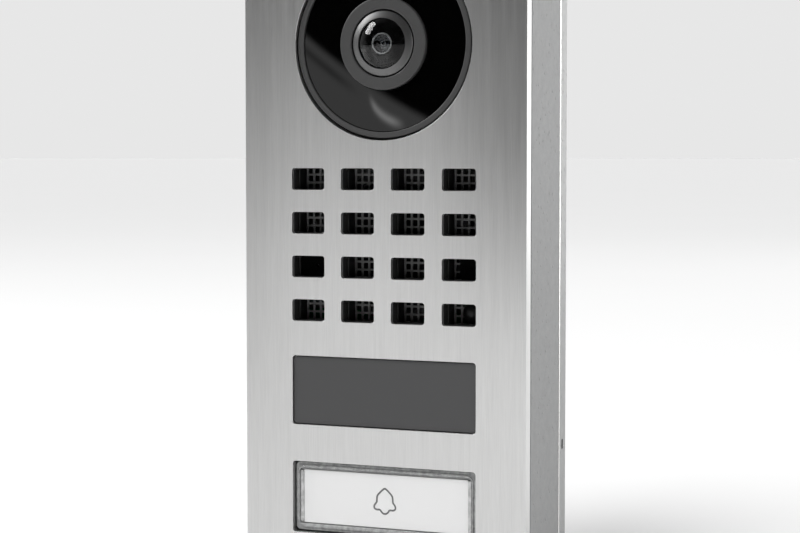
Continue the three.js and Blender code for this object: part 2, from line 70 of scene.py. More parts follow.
def middle_z(node):
    """How high the middle of a CAD node's box is."""
    lo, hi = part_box(node)
    return (lo.z + hi.z) / 2


# Where the frame puts things
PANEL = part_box("front_plate")
FACE_Y = PANEL[0].y
WIDTH = (PANEL[1].x - PANEL[0].x) / MM
HEIGHT = (PANEL[1].z - PANEL[0].z) / MM
CAMERA_CENTRE = centre_of("camera_bezel")
CABLE_Z = middle_z("cable_grommet")
GRID_Z = middle_z("speaker_mesh")
READER_Z = middle_z("reader_window")
BUTTON_Z = middle_z("button_cap")

# Front plate and its openings
PLATE_THICK = 3.0
PLATE_CORNER_R = 1.2
OPENING_W = 49.2
OPENING_CORNER_R = 0.8
READER_H = 17.3
BUTTON_H = 17.9
CAMERA_HOLE_R = 23.55
CAMERA_HOLE_DROP = 0.1

# Sound slots, numbered from the top left along the rows
COLUMN_PITCH = 13.44
ROW_PITCH = 10.91
SLOT_SIZE = (8.9, 5.4)
SLOT_CORNER_R = 0.75
POCKET_SIZE = (9.3, 5.8)
MESH_PITCH = (1.83, 2.0)
MESH_HOLE = (1.32, 1.48)
MICROPHONE_SLOT = 8
RECEIVER_SLOT = 11
RECEIVER_W = 6.3
RECEIVER_SHIFT = 1.3

# Casing behind the plate
CASING_CORNER_R = 1.6
GASKET_STRIP = 1.7
HOUSING_WALL = 2
HOUSING_FLOOR = 2.2
CABLE_HOLE_R = 8.0
COUNTERBORE_R = 3.75
COUNTERBORE_DEPTH = 2.5
WALL_PLATE_RIM = 2.5
WALL_PLATE_DEPTH = 5
WALL_PLATE_FLOOR = 2
CABLE_OPENING_R = 11.0
NOTCH_Z = -0.051
WALL_SLOT = (3.8, 9.0)
WALL_SLOT_XS = (-0.024, 0.024)
WALL_SLOT_ZS = (0.046, -0.058)

# Camera
BEZEL_R = 23.05
BEZEL_FLANGE_R = 26
WINDOW_R = 21.5
WINDOW_FLANGE_R = 24.5
SHROUD_R = 11.35
SHROUD_BORE_R = 8.32
BARREL_R = 8.0
BARREL_BORE_R = 4.6
LENS_R = 6.15
LENS_FRONT = -2.05
RING_FIT = 0.1

# Button
BUTTON_GAP = 0.3
CARD_W = 44.2
CARD_H = 13.4
WIRE_R = 0.25
SPRING_TURNS = 4
STEPS_PER_TURN = 24


# ---------------------------------------------------------------- mesh helpers
def y_at(depth):
    """The y of a depth in millimetres behind the plate's face."""
    return FACE_Y + depth * MM


def extents(node):
    """The width, height, front depth and back depth of a CAD node."""
    lo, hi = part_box(node)
    return (hi.x - lo.x) / MM, (hi.z - lo.z) / MM, (lo.y - FACE_Y) / MM, (hi.y - FACE_Y) / MM


def rounded_rectangle(w, h, r, x=0.0, z=0.0, steps=6):
    """(x, z) points in metres of a w by h rectangle with corners of radius r, centred on (x, z)."""
    points = []
    corners = ((1, -1, -90), (1, 1, 0), (-1, 1, 90), (-1, -1, 180))
    for sx, sz, start in corners:
        cx = x + sx * (w / 2 - r) * MM
        cz = z + sz * (h / 2 - r) * MM
        for i in range(steps + 1):
            a = math.radians(start + 90 * i / steps)
            points.append((cx + r * MM * math.cos(a), cz + r * MM * math.sin(a)))
    return points


def circle(r, x=0.0, z=0.0, steps=96):
    """(x, z) points in metres of a circle of radius r, centred on (x, z)."""
    angles = [2 * math.pi * i / steps for i in range(steps)]
    return [(x + r * MM * math.cos(a), z + r * MM * math.sin(a)) for a in angles]


def new_object(name, mesh, material):
    obj = bpy.data.objects.new(name, mesh)
    bpy.context.scene.collection.objects.link(obj)
    obj.data.materials.append(material)
    return obj


def curve_mesh(curve):
    """The mesh that a curve with a fill or a bevel makes."""
    maker = bpy.data.objects.new(curve.name, curve)
    bpy.context.scene.collection.objects.link(maker)
    mesh = bpy.data.meshes.new_from_object(maker.evaluated_get(bpy.context.evaluated_depsgraph_get()))
    bpy.data.objects.remove(maker)
    return mesh


def from_bmesh(name, bm, material):
    """Makes an object of bm: flat where it faces front or back, smooth elsewhere between sharp edges."""
    sharp = math.radians(35)
    bmesh.ops.recalc_face_normals(bm, faces=bm.faces)
    bm.normal_update()
    for face in bm.faces:
        face.smooth = abs(face.normal.y) < 0.9999
    for edge in bm.edges:
        edge.smooth = edge.calc_face_angle(0.0) < sharp
    mesh = bpy.data.meshes.new(name)
    bm.to_mesh(mesh)
    bm.free()
    obj = new_object(name, mesh, material)
    obj.modifiers.new("normals", "WEIGHTED_NORMAL").keep_sharp = True
    return obj


def plate(name, outer, holes, front, back, edge, material, steps=3):
    """A flat piece between two depths, its edges rounded by radius edge outside and round its holes."""
    curve = bpy.data.curves.new(name, "CURVE")
    curve.dimensions = "2D"
    curve.fill_mode = "BOTH"
    curve.extrude = ((back - front) / 2 - edge) * MM
    curve.bevel_depth = edge * MM
    curve.bevel_resolution = steps
    curve.offset = -edge * MM
    for outline in (outer, *holes):
        spline = curve.splines.new("POLY")
        spline.points.add(len(outline) - 1)
        for point, (x, z) in zip(spline.points, outline):
            point.co = (x, z, 0, 1)
        spline.use_cyclic_u = True
    bm = bmesh.new()
    bm.from_mesh(curve_mesh(curve))
    middle = y_at((front + back) / 2)
    for v in bm.verts:
        v.co = (v.co.x, middle - v.co.z, v.co.y)
    bmesh.ops.remove_doubles(bm, verts=bm.verts, dist=1e-6)
    return from_bmesh(name, bm, material)


def fillet(profile, radius, steps=3):
    """Rounds the corners of a closed [radius, depth] profile, as far as its sides allow."""
    rounded = []
    count = len(profile)
    for i, corner in enumerate(profile):
        p = Vector(corner)
        before = Vector(profile[i - 1]) - p
        after = Vector(profile[(i + 1) % count]) - p
        reach = min(radius, before.length / 2.1, after.length / 2.1)
        if p.x < 1e-6 or reach < 1e-3:
            rounded.append(tuple(p))
            continue
        a, b = p + before.normalized() * reach, p + after.normalized() * reach
        for k in range(steps + 1):
            t = k / steps
            rounded.append(tuple(a * (1 - t) ** 2 + p * 2 * t * (1 - t) + b * t**2))
    return rounded


def lathe(name, profile, centre, material, steps=96, edge=0.15):
    """Turns a closed [radius, depth] profile about the axis along Y through centre."""
    profile = fillet(profile, edge)
    bm = bmesh.new()
    rings = []
    for r, depth in profile:
        if r < 1e-6:
            rings.append([bm.verts.new((centre.x, y_at(depth), centre.z))])
            continue
        ring = circle(r, centre.x, centre.z, steps)
        rings.append([bm.verts.new((x, y_at(depth), z)) for x, z in ring])
    for one, two in zip(rings, rings[1:] + rings[:1]):
        if len(one) == 1 and len(two) == 1:
            continue
        for i in range(steps):
            j = (i + 1) % steps
            corners = [one[i % len(one)], one[j % len(one)], two[j % len(two)], two[i % len(two)]]
            bm.faces.new(list(dict.fromkeys(corners)))
    return from_bmesh(name, bm, material)


def dome(radius, apex, edge, steps=16):
    """[radius, depth] points on a circular arc from the axis at apex out to (radius, edge)."""
    rise = edge - apex
    sphere = (radius**2 + rise**2) / (2 * rise)
    sweep = math.asin(min(1.0, radius / sphere))
    angles = [sweep * i / steps for i in range(steps + 1)]
    return [(sphere * math.sin(a), apex + sphere * (1 - math.cos(a))) for a in angles]


def carve(obj, cutter):
    """Cuts cutter out of obj for good, and removes cutter."""
    modifier = obj.modifiers.new("cut", "BOOLEAN")
    modifier.object = cutter
    modifier.solver = "EXACT"
    evaluated = obj.evaluated_get(bpy.context.evaluated_depsgraph_get())
    mesh = bpy.data.meshes.new_from_object(evaluated)
    obj.modifiers.remove(modifier)
    obj.data = mesh
    bpy.data.objects.remove(cutter)


def upright_cylinder(name, r, y, low, high, material):
    """A cylinder of radius r about the upright axis at x = 0, from low to high in metres."""
    steps = 64
    outline = circle(r, 0, y, steps)
    bm = bmesh.new()
    bottom, top = ([bm.verts.new((x, depth, z)) for x, depth in outline] for z in (low, high))
    for i in range(steps):
        j = (i + 1) % steps
        bm.faces.new((bottom[i], bottom[j], top[j], top[i]))
    bm.faces.new(bottom)
    bm.faces.new(top)
    return from_bmesh(name, bm, material)


def merge(name, *objects):
    """One object made of several that share a material."""
    bm = bmesh.new()
    for obj in objects:
        bm.from_mesh(obj.data)
    material = objects[0].data.materials[0]
    for obj in objects:
        bpy.data.objects.remove(obj)
    return from_bmesh(name, bm, material)


def stands_for(piece, body, node):
    """Rides piece on body in place of the CAD node, which it hides."""
    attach(piece, body)
    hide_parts(node)


def added(piece, body):
    """Rides on body a piece that replaces no CAD node."""
    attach(piece, body)


# ---------------------------------------------------------------- materials
class Look:
    """A material on one Principled shader, with short ways to add the nodes that drive it."""

    def __init__(self, name, color, roughness, metallic=0.0, **sockets):
        self.material = bpy.data.materials.new(name)
        self.material.use_nodes = True
        self.tree = self.material.node_tree
        self.shader = self.tree.nodes["Principled BSDF"]
        self.set("Base Color", (*color, 1.0))
        self.set("Roughness", roughness)
        self.set("Metallic", metallic)
        for socket, value in sockets.items():
            self.set(socket.replace("_", " "), value)
        self.color = color
        self.normal = None

    def set(self, socket, value):
        """Sets a number or colour on the shader's own socket."""
        self.shader.inputs[socket].default_value = value

    def node(self, kind, inputs=None, **settings):
        """Adds a shader node, and links or sets its inputs."""
        made = self.tree.nodes.new("ShaderNode" + kind)
        for key, value in settings.items():
            setattr(made, key, value)
        for key, value in (inputs or {}).items():
            if isinstance(value, bpy.types.NodeSocket):
                self.tree.links.new(value, made.inputs[key])
            else:
                made.inputs[key].default_value = value
        return made

    def place(self, stretch=(1, 1, 1)):
        """Object coordinates in millimetres, divided by stretch."""
        coordinates = self.node("TexCoord").outputs["Object"]
        scale = [1000 / s for s in stretch]
        return self.node("Mapping", {"Vector": coordinates, "Scale": scale}).outputs["Vector"]

    def noise(self, scale, stretch=(1, 1, 1), detail=3.0, roughness=0.55):
        """Noise with about scale features to a millimetre."""
        inputs = {"Vector": self.place(stretch), "Scale": scale, "Detail": detail,
                  "Roughness": roughness}
        return self.node("TexNoise", inputs).outputs["Fac"]

    def specks(self, spacing, size):
        """1 in small round specks, one to each cell about spacing millimetres across, 0 between them."""
        cells = self.node("TexVoronoi", {"Vector": self.place(), "Scale": 1 / spacing})
        reach = size / spacing
        return self.spread(cells.outputs["Distance"], reach / 3, reach, 1.0, 0.0)

    def spread(self, value, low, high, to_low, to_high):
        """Maps value from low..high to to_low..to_high, and holds it there beyond them."""
        inputs = {"Value": value, 1: low, 2: high, 3: to_low, 4: to_high}
        return self.node("MapRange", inputs).outputs["Result"]

    def tint(self, factor, dark, light):
        """Colours the surface from dark to light times its own colour, as factor goes from 0 to 1."""
        ends = [(*(min(1.0, c * k) for c in self.color), 1.0) for k in (dark, light)]
        mix = self.node("MixRGB", {"Fac": factor, "Color1": ends[0], "Color2": ends[1]})
        self.tree.links.new(mix.outputs["Color"], self.shader.inputs["Base Color"])

    def gloss(self, factor, low, high):
        """Roughness from low to high as factor goes from 0 to 1."""
        self.tree.links.new(self.spread(factor, 0, 1, low, high), self.shader.inputs["Roughness"])

    def bump(self, factor, depth, strength=1.0):
        """Raises the surface by depth millimetres where factor is 1."""
        inputs = {"Height": factor, "Distance": depth * MM, "Strength": strength}
        if self.normal:
            inputs["Normal"] = self.normal
        self.normal = self.node("Bump", inputs).outputs["Normal"]
        self.tree.links.new(self.normal, self.shader.inputs["Normal"])


def brushed_steel():
    look = Look("brushed_steel", (0.7, 0.7, 0.695), 0.32, 0.95, Anisotropic=0.55)
    tangent = look.node("Tangent", direction_type="RADIAL", axis="Z").outputs["Tangent"]
    look.tree.links.new(tangent, look.shader.inputs["Tangent"])
    grain = look.noise(3.2, (1, 1, 34), detail=4.0, roughness=0.7)
    bands = look.noise(0.6, (1, 1, 30), detail=4.0, roughness=0.65)
    streaks = look.node("Math", {0: grain, 1: bands}, operation="ADD").outputs["Value"]
    look.tint(look.spread(streaks, 0.6, 1.4, 0.0, 1.0), 0.9, 1.085)
    look.gloss(bands, 0.24, 0.4)
    look.bump(grain, 0.004)
    return look.material


def turned_steel():
    look = Look("turned_steel", (0.62, 0.62, 0.61), 0.25, 1.0)
    rings = look.noise(4.0, detail=2.0)
    look.gloss(rings, 0.18, 0.34)
    look.bump(look.noise(9.0), 0.003)
    return look.material


def powder_coat(name, level, roughness, metallic):
    look = Look(name, (level, level * 1.01, level * 1.01), roughness, metallic)
    grit = look.noise(2.6, detail=2.0)
    cloud = look.noise(0.45, detail=5.0, roughness=0.75)
    look.tint(cloud, 0.8, 1.18)
    look.gloss(grit, roughness - 0.06, roughness + 0.08)
    look.bump(grit, 0.02, 0.6)
    look.bump(look.specks(2.0, 0.4), 0.2)
    return look.material


def moulded_plastic(name, level, roughness, grain=0.012):
    look = Look(name, (level, level, level), roughness)
    texture = look.noise(5.0, detail=2.0)
    look.tint(look.noise(0.5), 0.9, 1.1)
    look.gloss(texture, roughness - 0.05, roughness + 0.08)
    look.bump(texture, grain, 0.5)
    return look.material


def mesh_paint():
    look = Look("mesh_paint", (0.48, 0.48, 0.48), 0.5)
    texture = look.noise(4.0)
    look.tint(texture, 0.7, 1.2)
    look.bump(texture, 0.01)
    return look.material


def rubber(name="black_rubber", level=0.012):
    look = Look(name, (level, level, level), 0.7, Specular_IOR_Level=0.3)
    dust = look.noise(1.3, detail=5.0)
    look.tint(dust, 0.8, 1.4)
    look.gloss(dust, 0.62, 0.85)
    look.bump(look.noise(7.0), 0.01, 0.6)
    return look.material


def acoustic_foam():
    look = Look("acoustic_foam", (0.0025, 0.0025, 0.0025), 0.9, Specular_IOR_Level=0.05)
    cells = look.noise(3.0, detail=4.0)
    look.tint(cells, 0.4, 1.6)
    look.bump(cells, 0.08)
    return look.material


def window_gloss():
    look = Look("window_gloss", (0.0006, 0.0006, 0.0006), 0.015)
    look.gloss(look.noise(0.15, detail=1.0), 0.01, 0.022)
    look.bump(look.noise(0.12, detail=1.0), 0.002, 0.2)
    return look.material


def reader_film():
    look = Look("reader_film", (0.051, 0.051, 0.052), 0.42, Specular_IOR_Level=0.45)
    texture = look.noise(6.0, detail=2.0)
    look.gloss(texture, 0.38, 0.48)
    look.bump(texture, 0.006, 0.4)
    return look.material


def barrel_metal():
    look = Look("barrel_metal", (0.16, 0.16, 0.16), 0.4, 0.9)
    look.gloss(look.noise(2.0, detail=3.0), 0.34, 0.44)
    look.bump(look.noise(8.0), 0.003, 0.5)
    return look.material


def lens_glass():
    look = Look("lens_glass", (0.9, 0.93, 0.95), 0.0, Transmission_Weight=1.0, IOR=1.5)
    look.tint(look.noise(0.4, detail=1.0), 0.95, 1.0)
    return look.material


def ring_metal(name, level):
    look = Look(name, (level, level, level), 0.5, 0.4)
    look.gloss(look.noise(3.0), 0.4, 0.6)
    return look.material


def coated_glass():
    look = Look("coated_glass", (0.01, 0.012, 0.018), 0.04, Coat_Weight=0.6, Coat_Roughness=0.02)
    look.gloss(look.noise(0.8, detail=1.0), 0.02, 0.06)
    return look.material


def clear_acrylic():
    """Clear plastic that lets light straight through, with a faint reflection on each polished face."""
    look = Look("clear_acrylic", (0.95, 0.95, 0.95), 0.05, 1.0)
    look.gloss(look.noise(0.6, detail=2.0), 0.02, 0.07)
    see_through = look.node("BsdfTransparent", {"Color": (0.99, 0.99, 0.99, 1.0)})
    mixed = look.node("MixShader", {0: 0.03, 1: see_through.outputs[0], 2: look.shader.outputs[0]})
    look.tree.links.new(mixed.outputs[0], look.tree.nodes["Material Output"].inputs["Surface"])
    return look.material


def name_card():
    look = Look("name_card", (0.7, 0.7, 0.7), 0.45, Coat_Weight=0.8, Coat_Roughness=0.04)
    fibre = look.noise(3.0, (3, 1, 1), detail=4.0)
    look.tint(fibre, 0.985, 1.01)
    look.bump(fibre, 0.004, 0.3)
    return look.material


def translucent_border():
    look = Look("translucent_border", (0.28, 0.284, 0.284), 0.3, Coat_Weight=0.5, Coat_Roughness=0.1)
    cloud = look.noise(0.8, detail=4.0)
    look.tint(look.spread(cloud, 0.3, 0.7, 0.0, 1.0), 0.6, 1.4)
    look.gloss(cloud, 0.22, 0.42)
    look.bump(look.noise(0.9), 0.12, 0.6)
    return look.material


def light_guide():
    look = Look("light_guide", (0.42, 0.42, 0.42), 0.35, Coat_Weight=0.4)
    look.tint(look.spread(look.noise(0.7, detail=3.0), 0.3, 0.7, 0.0, 1.0), 0.6, 1.4)
    look.bump(look.noise(1.4), 0.05, 0.5)
    return look.material


def ink():
    look = Look("ink", (0.1, 0.1, 0.1), 0.5)
    look.tint(look.noise(6.0), 0.9, 1.15)
    return look.material


def circuit_board():
    look = Look("circuit_board", (0.015, 0.11, 0.045), 0.35, Coat_Weight=0.3)
    traces = look.node("TexBrick", {"Vector": look.place(), "Scale": 0.35, "Mortar Size": 0.06})
    look.tint(traces.outputs["Fac"], 0.75, 1.7)
    look.bump(traces.outputs["Fac"], 0.03, 0.5)
    return look.material


def tin_plate():
    look = Look("tin_plate", (0.6, 0.6, 0.58), 0.35, 1.0)
    cloud = look.noise(0.7, detail=5.0)
    look.tint(cloud, 0.85, 1.1)
    look.gloss(cloud, 0.25, 0.5)
    return look.material


def copper_winding():
    look = Look("copper_winding", (0.55, 0.22, 0.09), 0.3, 1.0)
    turns = look.node("TexWave", {"Vector": look.place(), "Scale": 1.6}, bands_direction="Y")
    look.tint(turns.outputs["Fac"], 0.6, 1.1)
    look.bump(turns.outputs["Fac"], 0.05)
    return look.material


def magnet_steel():
    look = Look("magnet_steel", (0.32, 0.33, 0.34), 0.45, 0.9)
    cloud = look.noise(0.6, detail=5.0)
    look.tint(cloud, 0.8, 1.15)
    look.gloss(cloud, 0.35, 0.6)
    return look.material


def cone_paper():
    look = Look("cone_paper", (0.02, 0.018, 0.017), 0.8)
    fibre = look.noise(2.2, detail=6.0)
    look.tint(fibre, 0.6, 1.5)
    look.bump(fibre, 0.05, 0.7)
    return look.material


def led_resin():
    look = Look("led_resin", (0.75, 0.73, 0.66), 0.15, Coat_Weight=0.5)
    look.tint(look.noise(1.5), 0.85, 1.05)
    look.gloss(look.noise(3.0), 0.1, 0.25)
    return look.material


def terminal_plastic():
    look = Look("terminal_plastic", (0.03, 0.2, 0.07), 0.45)
    texture = look.noise(4.0)
    look.tint(texture, 0.85, 1.1)
    look.bump(texture, 0.01, 0.4)
    return look.material


def floor_paint():
    look = Look("floor_paint", (0.8, 0.8, 0.8), 0.7)
    look.tint(look.noise(0.004), 0.985, 1.0)
    return look.material


LOOKS = {
    "steel_plate": brushed_steel(),
    "fastener_steel": turned_steel(),
    "housing_paint": powder_coat("housing_powder_coat", 0.272, 0.5, 0.25),
    "wall_plate_paint": powder_coat("wall_plate_paint", 0.31, 0.35, 0.4),
    "black_rubber": rubber(),
    "grey_rubber": rubber("grey_rubber", 0.2),
    "trim_plastic": moulded_plastic("trim_plastic", 0.041, 0.4),
    "window_plastic": window_gloss(),
    "barrel_metal": barrel_metal(),
    "lens_glass": coated_glass(),
    "black_plastic": moulded_plastic("black_plastic", 0.012, 0.45),
    "mesh_metal": mesh_paint(),
    "reader_plastic": reader_film(),
    "clear_plastic": clear_acrylic(),
    "label_card": name_card(),
    "diffuser_plastic": translucent_border(),
    "circuit_board": circuit_board(),
    "tin_plate": tin_plate(),
    "copper": copper_winding(),
    "magnet_steel": magnet_steel(),
    "cone_paper": cone_paper(),
    "led_resin": led_resin(),
    "terminal_plastic": terminal_plastic(),
}
SLOT_OF = {s["node"]: s["material_slot"] for s in frame["record"]["subparts"]}
FOAM = acoustic_foam()
# These two look different from the rest of their material slots.
OWN_LOOKS = {"microphone_boot": FOAM, "infrared_receiver": FOAM}
for node, obj in frame["nodes"].items():
    obj.data.materials.clear()
    obj.data.materials.append(OWN_LOOKS.get(node, LOOKS[SLOT_OF[node]]))


# ---------------------------------------------------------------- casings
def slot_centres():
    """The (x, z) centres of the four by four sound slots, row by row from the top left."""
    xs = [(i - 1.5) * COLUMN_PITCH * MM for i in range(4)]
    zs = [GRID_Z + (1.5 - j) * ROW_PITCH * MM for j in range(4)]
    return [(x, z) for z in zs for x in xs]


def front_plate():
    holes = [rounded_rectangle(*SLOT_SIZE, SLOT_CORNER_R, x, z) for x, z in slot_centres()]
    holes.append(circle(CAMERA_HOLE_R, 0, CAMERA_CENTRE.z - CAMERA_HOLE_DROP * MM, 128))
    holes.append(rounded_rectangle(OPENING_W, READER_H, OPENING_CORNER_R, 0, READER_Z))
    holes.append(rounded_rectangle(OPENING_W, BUTTON_H, OPENING_CORNER_R, 0, BUTTON_Z))
    outer = rounded_rectangle(WIDTH, HEIGHT, PLATE_CORNER_R)
    piece = plate("brushed_plate", outer, holes, 0, PLATE_THICK, 0.07, LOOKS["steel_plate"], 2)
    stands_for(piece, "panel", "front_plate")


def gasket():
    w, h, front, back = extents("front_gasket")
    hole = rounded_rectangle(w - 2 * GASKET_STRIP, h - 2 * GASKET_STRIP, 0.6)
    outer = rounded_rectangle(w, h, PLATE_CORNER_R)
    piece = plate("gasket_strip", outer, [hole], front, back, 0.1, LOOKS["grey_rubber"])
    stands_for(piece, "panel", "front_gasket")


def housing():
    """Four walls and a floor with the cable's hole, and the lock screw's counterbore in the lower wall."""
    w, h, front, back = extents("housing")
    paint = LOOKS["housing_paint"]
    outer = rounded_rectangle(w, h, CASING_CORNER_R, steps=10)
    inner = rounded_rectangle(w - 2 * HOUSING_WALL, h - 2 * HOUSING_WALL, 1.0)
    walls = plate("walls", outer, [inner], front, back, 0.1, paint)
    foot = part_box("housing")[0].z
    top = foot + COUNTERBORE_DEPTH * MM
    screw_y = centre_of("security_screw").y
    carve(walls, upright_cylinder("counterbore", COUNTERBORE_R, screw_y, foot - MM, top, paint))
    outline = rounded_rectangle(w - 1, h - 1, 1.2)
    cable_hole = circle(CABLE_HOLE_R, 0, CABLE_Z)
    floor = plate("floor", outline, [cable_hole], back - HOUSING_FLOOR, back, 0.2, paint)
    stands_for(merge("housing_shell", walls, floor), "panel", "housing")


def wall_plate():
    """A rim with a bright front edge and a notch in each side, round a floor with screw slots."""
    paint = LOOKS["wall_plate_paint"]
    back = extents("wall_plate")[3]
    front = back - WALL_PLATE_DEPTH
    outer = rounded_rectangle(WIDTH, HEIGHT, CASING_CORNER_R, steps=10)
    inner = rounded_rectangle(WIDTH - 2 * WALL_PLATE_RIM, HEIGHT - 2 * WALL_PLATE_RIM, 1.0)
    rim = plate("rim", outer, [inner], front, back, 0.35, paint, 0)
    bright_edge(outer, front)
    for side in (-1, 1):
        outline = rounded_rectangle(2, 2.4, 0.3, side * WIDTH / 2 * MM, NOTCH_Z)
        carve(rim, plate("notch", outline, [], front + 1.6, front + 2.8, 0.1, paint, 1))
    floor, ledge = wall_plate_floor(back)
    stands_for(merge("wall_plate_shell", rim, floor, ledge), "panel", "wall_plate")


def bright_edge(outer, front):
    """The bare metal along the rim's front edge, which catches the light."""
    inner = rounded_rectangle(WIDTH - 1.6, HEIGHT - 1.6, 0.8)
    edge = plate("wall_plate_edge", outer, [inner], front - 0.02, front + 0.36, 0.18,
                 LOOKS["fastener_steel"], 0)
    added(edge, "panel")


def wall_plate_floor(back):
    """The floor inside the wall seal's groove, and the ledge that joins it to the rim."""
    paint = LOOKS["wall_plate_paint"]
    seal_w, seal_h = extents("wall_seal")[:2]
    holes = [circle(CABLE_OPENING_R, 0, CABLE_Z)]
    for x in WALL_SLOT_XS:
        holes += [rounded_rectangle(*WALL_SLOT, 1.89, x, z) for z in WALL_SLOT_ZS]
    outline = rounded_rectangle(seal_w - 4.4, seal_h - 4.4, 0.6)
    floor = plate("floor", outline, holes, back - WALL_PLATE_FLOOR, back, 0.25, paint)
    outline = rounded_rectangle(WIDTH - 3.6, HEIGHT - 3.6, 1.0)
    inner = rounded_rectangle(60, 150, 1)
    ledge = plate("ledge", outline, [inner], back - WALL_PLATE_FLOOR, back - 1.25, 0.1, paint)
    return floor, ledge


# ---------------------------------------------------------------- camera
def camera_rings():
    """The dark bezel, the black window, the collar round the lens and the lens barrel."""
    bezel_bore = WINDOW_R + RING_FIT
    window_bore = SHROUD_R + RING_FIT
    pieces = {
        "camera_bezel": ([(bezel_bore, 0.6), (BEZEL_R, 0.6), (BEZEL_R, 3.1), (BEZEL_FLANGE_R, 3.1),
                          (BEZEL_FLANGE_R, 4.3), (bezel_bore, 4.3)], 0.22),
        "camera_window": ([(window_bore, 1.2), (WINDOW_R, 1.2), (WINDOW_R, 4.4), (WINDOW_FLANGE_R, 4.4),
                           (WINDOW_FLANGE_R, 5.4), (20.2, 5.4), (20.2, 3), (window_bore, 3)], 0.1),
        "lens_shroud": ([(SHROUD_BORE_R, 0.1), (SHROUD_R, 0.1), (SHROUD_R, 6.6),
                         (SHROUD_BORE_R, 6.6)], 0.3),
        "lens_barrel": ([(6.2, -0.45), (BARREL_R, 0.35), (BARREL_R, 7.2), (6, 8), (6, 16.2),
                         (BARREL_BORE_R, 16.2), (BARREL_BORE_R, 1.6), (6.2, 1.6)], 0.2),
    }
    for node, (profile, edge) in pieces.items():
        piece = lathe(node + "_ring", profile, CAMERA_CENTRE, LOOKS[SLOT_OF[node]], 160, edge)
        stands_for(piece, "panel", node)


def lens():
    """A glass dome, and behind its flat back a black baffle, a ring, an aperture and the inner lens."""
    at = CAMERA_CENTRE
    profile = [*dome(LENS_R, LENS_FRONT, -0.05, 24), (LENS_R, 0.7), (0, 0.7)]
    stands_for(lathe("lens_dome", profile, at, lens_glass(), 128, 0.0), "panel", "front_lens")
    profile = [(2.42, 0.55), (6.1, 0.55), (6.1, 1.5), (4.5, 3.2), (2.42, 3.2)]
    baffle = lathe("lens_baffle", profile, at, FOAM, 128, 0.05)
    added(baffle, "panel")
    profile = [(2.1, 0.4), (2.4, 0.4), (2.4, 1.1), (2.1, 1.1)]
    ring = lathe("lens_ring", profile, at, ring_metal("lens_ring_metal", 0.3), 96, 0.08)
    added(ring, "panel")
    profile = [(0.45, 1.25), (0.65, 1.25), (0.65, 1.45), (0.45, 1.45)]
    aperture = lathe("lens_aperture", profile, at, ring_metal("aperture_metal", 0.16), 48, 0.05)
    added(aperture, "panel")
    profile = [*dome(2.1, 1.5, 2.1, 10), (2.45, 2.8), (0, 2.8)]
    stands_for(lathe("lens_inner", profile, at, LOOKS["lens_glass"], 64, 0.0), "panel", "inner_lens")


# ---------------------------------------------------------------- sound mesh, reader, button
def sound_mesh():
    """A sheet with five by three square holes behind each slot, or one column where the receiver sits."""
    w, h, front, back = extents("speaker_mesh")
    holes = []
    for index, (x, z) in enumerate(slot_centres()):
        if index == MICROPHONE_SLOT:
            continue
        for i in range(-2, -1 if index == RECEIVER_SLOT else 3):
            for j in range(-1, 2):
                at = (x + i * MESH_PITCH[0] * MM, z + j * MESH_PITCH[1] * MM)
                holes.append(rounded_rectangle(*MESH_HOLE, 0.15, *at, steps=2))
    outer = rounded_rectangle(w, h, 1.0, 0, GRID_Z)
    piece = plate("sound_mesh", outer, holes, front, back, 0.08, LOOKS["mesh_metal"], 1)
    stands_for(piece, "panel", "speaker_mesh")


def foam_blocks():
    """The microphone's boot and the infrared receiver's window, each with a small port in its middle."""
    centres = slot_centres()
    blocks = {
        "microphone_boot": (centres[MICROPHONE_SLOT], 0.0, SLOT_SIZE[0]),
        "infrared_receiver": (centres[RECEIVER_SLOT], RECEIVER_SHIFT, RECEIVER_W),
    }
    for node, ((x, z), shift, width) in blocks.items():
        middle = x + shift * MM
        outer = rounded_rectangle(width, SLOT_SIZE[1], 0.6, middle, z)
        port = circle(0.35, middle, z, 16)
        piece = plate(node + "_block", outer, [port], 5.5, 9, 0.3, FOAM)
        stands_for(piece, "panel", node)


def pocket_lips():
    """The rounded lip moulded round each pocket behind the slots, and a thin black sheet over each slot's
    walls, which paints shade on them.
    """
    w, h = SLOT_SIZE
    pocket_w, pocket_h = POCKET_SIZE
    lips = []
    painted_shade_sheets = []
    for x, z in slot_centres():
        hole = rounded_rectangle(w - 0.3, h - 0.3, 0.6, x, z)
        outer = rounded_rectangle(w - 0.04, h - 0.04, 0.73, x, z)
        # Painted shade: a thin black sheet over the slot's walls makes them dark.
        painted_shade_sheets.append(plate("painted_shade_sheet", outer, [hole], 1.1, 3.3, 0.05, LOOKS["black_plastic"], 1))
        hole = rounded_rectangle(pocket_w - 0.6, pocket_h - 0.5, 0.3, x, z, 2)
        outer = rounded_rectangle(pocket_w, pocket_h, 0.3, x, z, 2)
        lips.append(plate("lip", outer, [hole], 4.4, 5.1, 0.12, LOOKS["trim_plastic"], 1))
    for piece in (merge("pocket_lips", *lips), merge("slot_painted_shade_sheets", *painted_shade_sheets)):
        added(piece, "panel")


def reader():
    """A dark pane in its opening, on a wider flange behind the plate."""
    film = LOOKS["reader_plastic"]
    outline = rounded_rectangle(OPENING_W - 0.4, READER_H - 0.4, 0.7, 0, READER_Z)
    pane = plate("pane", outline, [], 0.5, 3.6, 0.12, film)
    outline = rounded_rectangle(53, 20.6, 1.0, 0, READER_Z)
    flange = plate("flange", outline, [], 3.15, 4.4, 0.15, film)
    stands_for(merge("reader_pane", pane, flange), "panel", "reader_window")


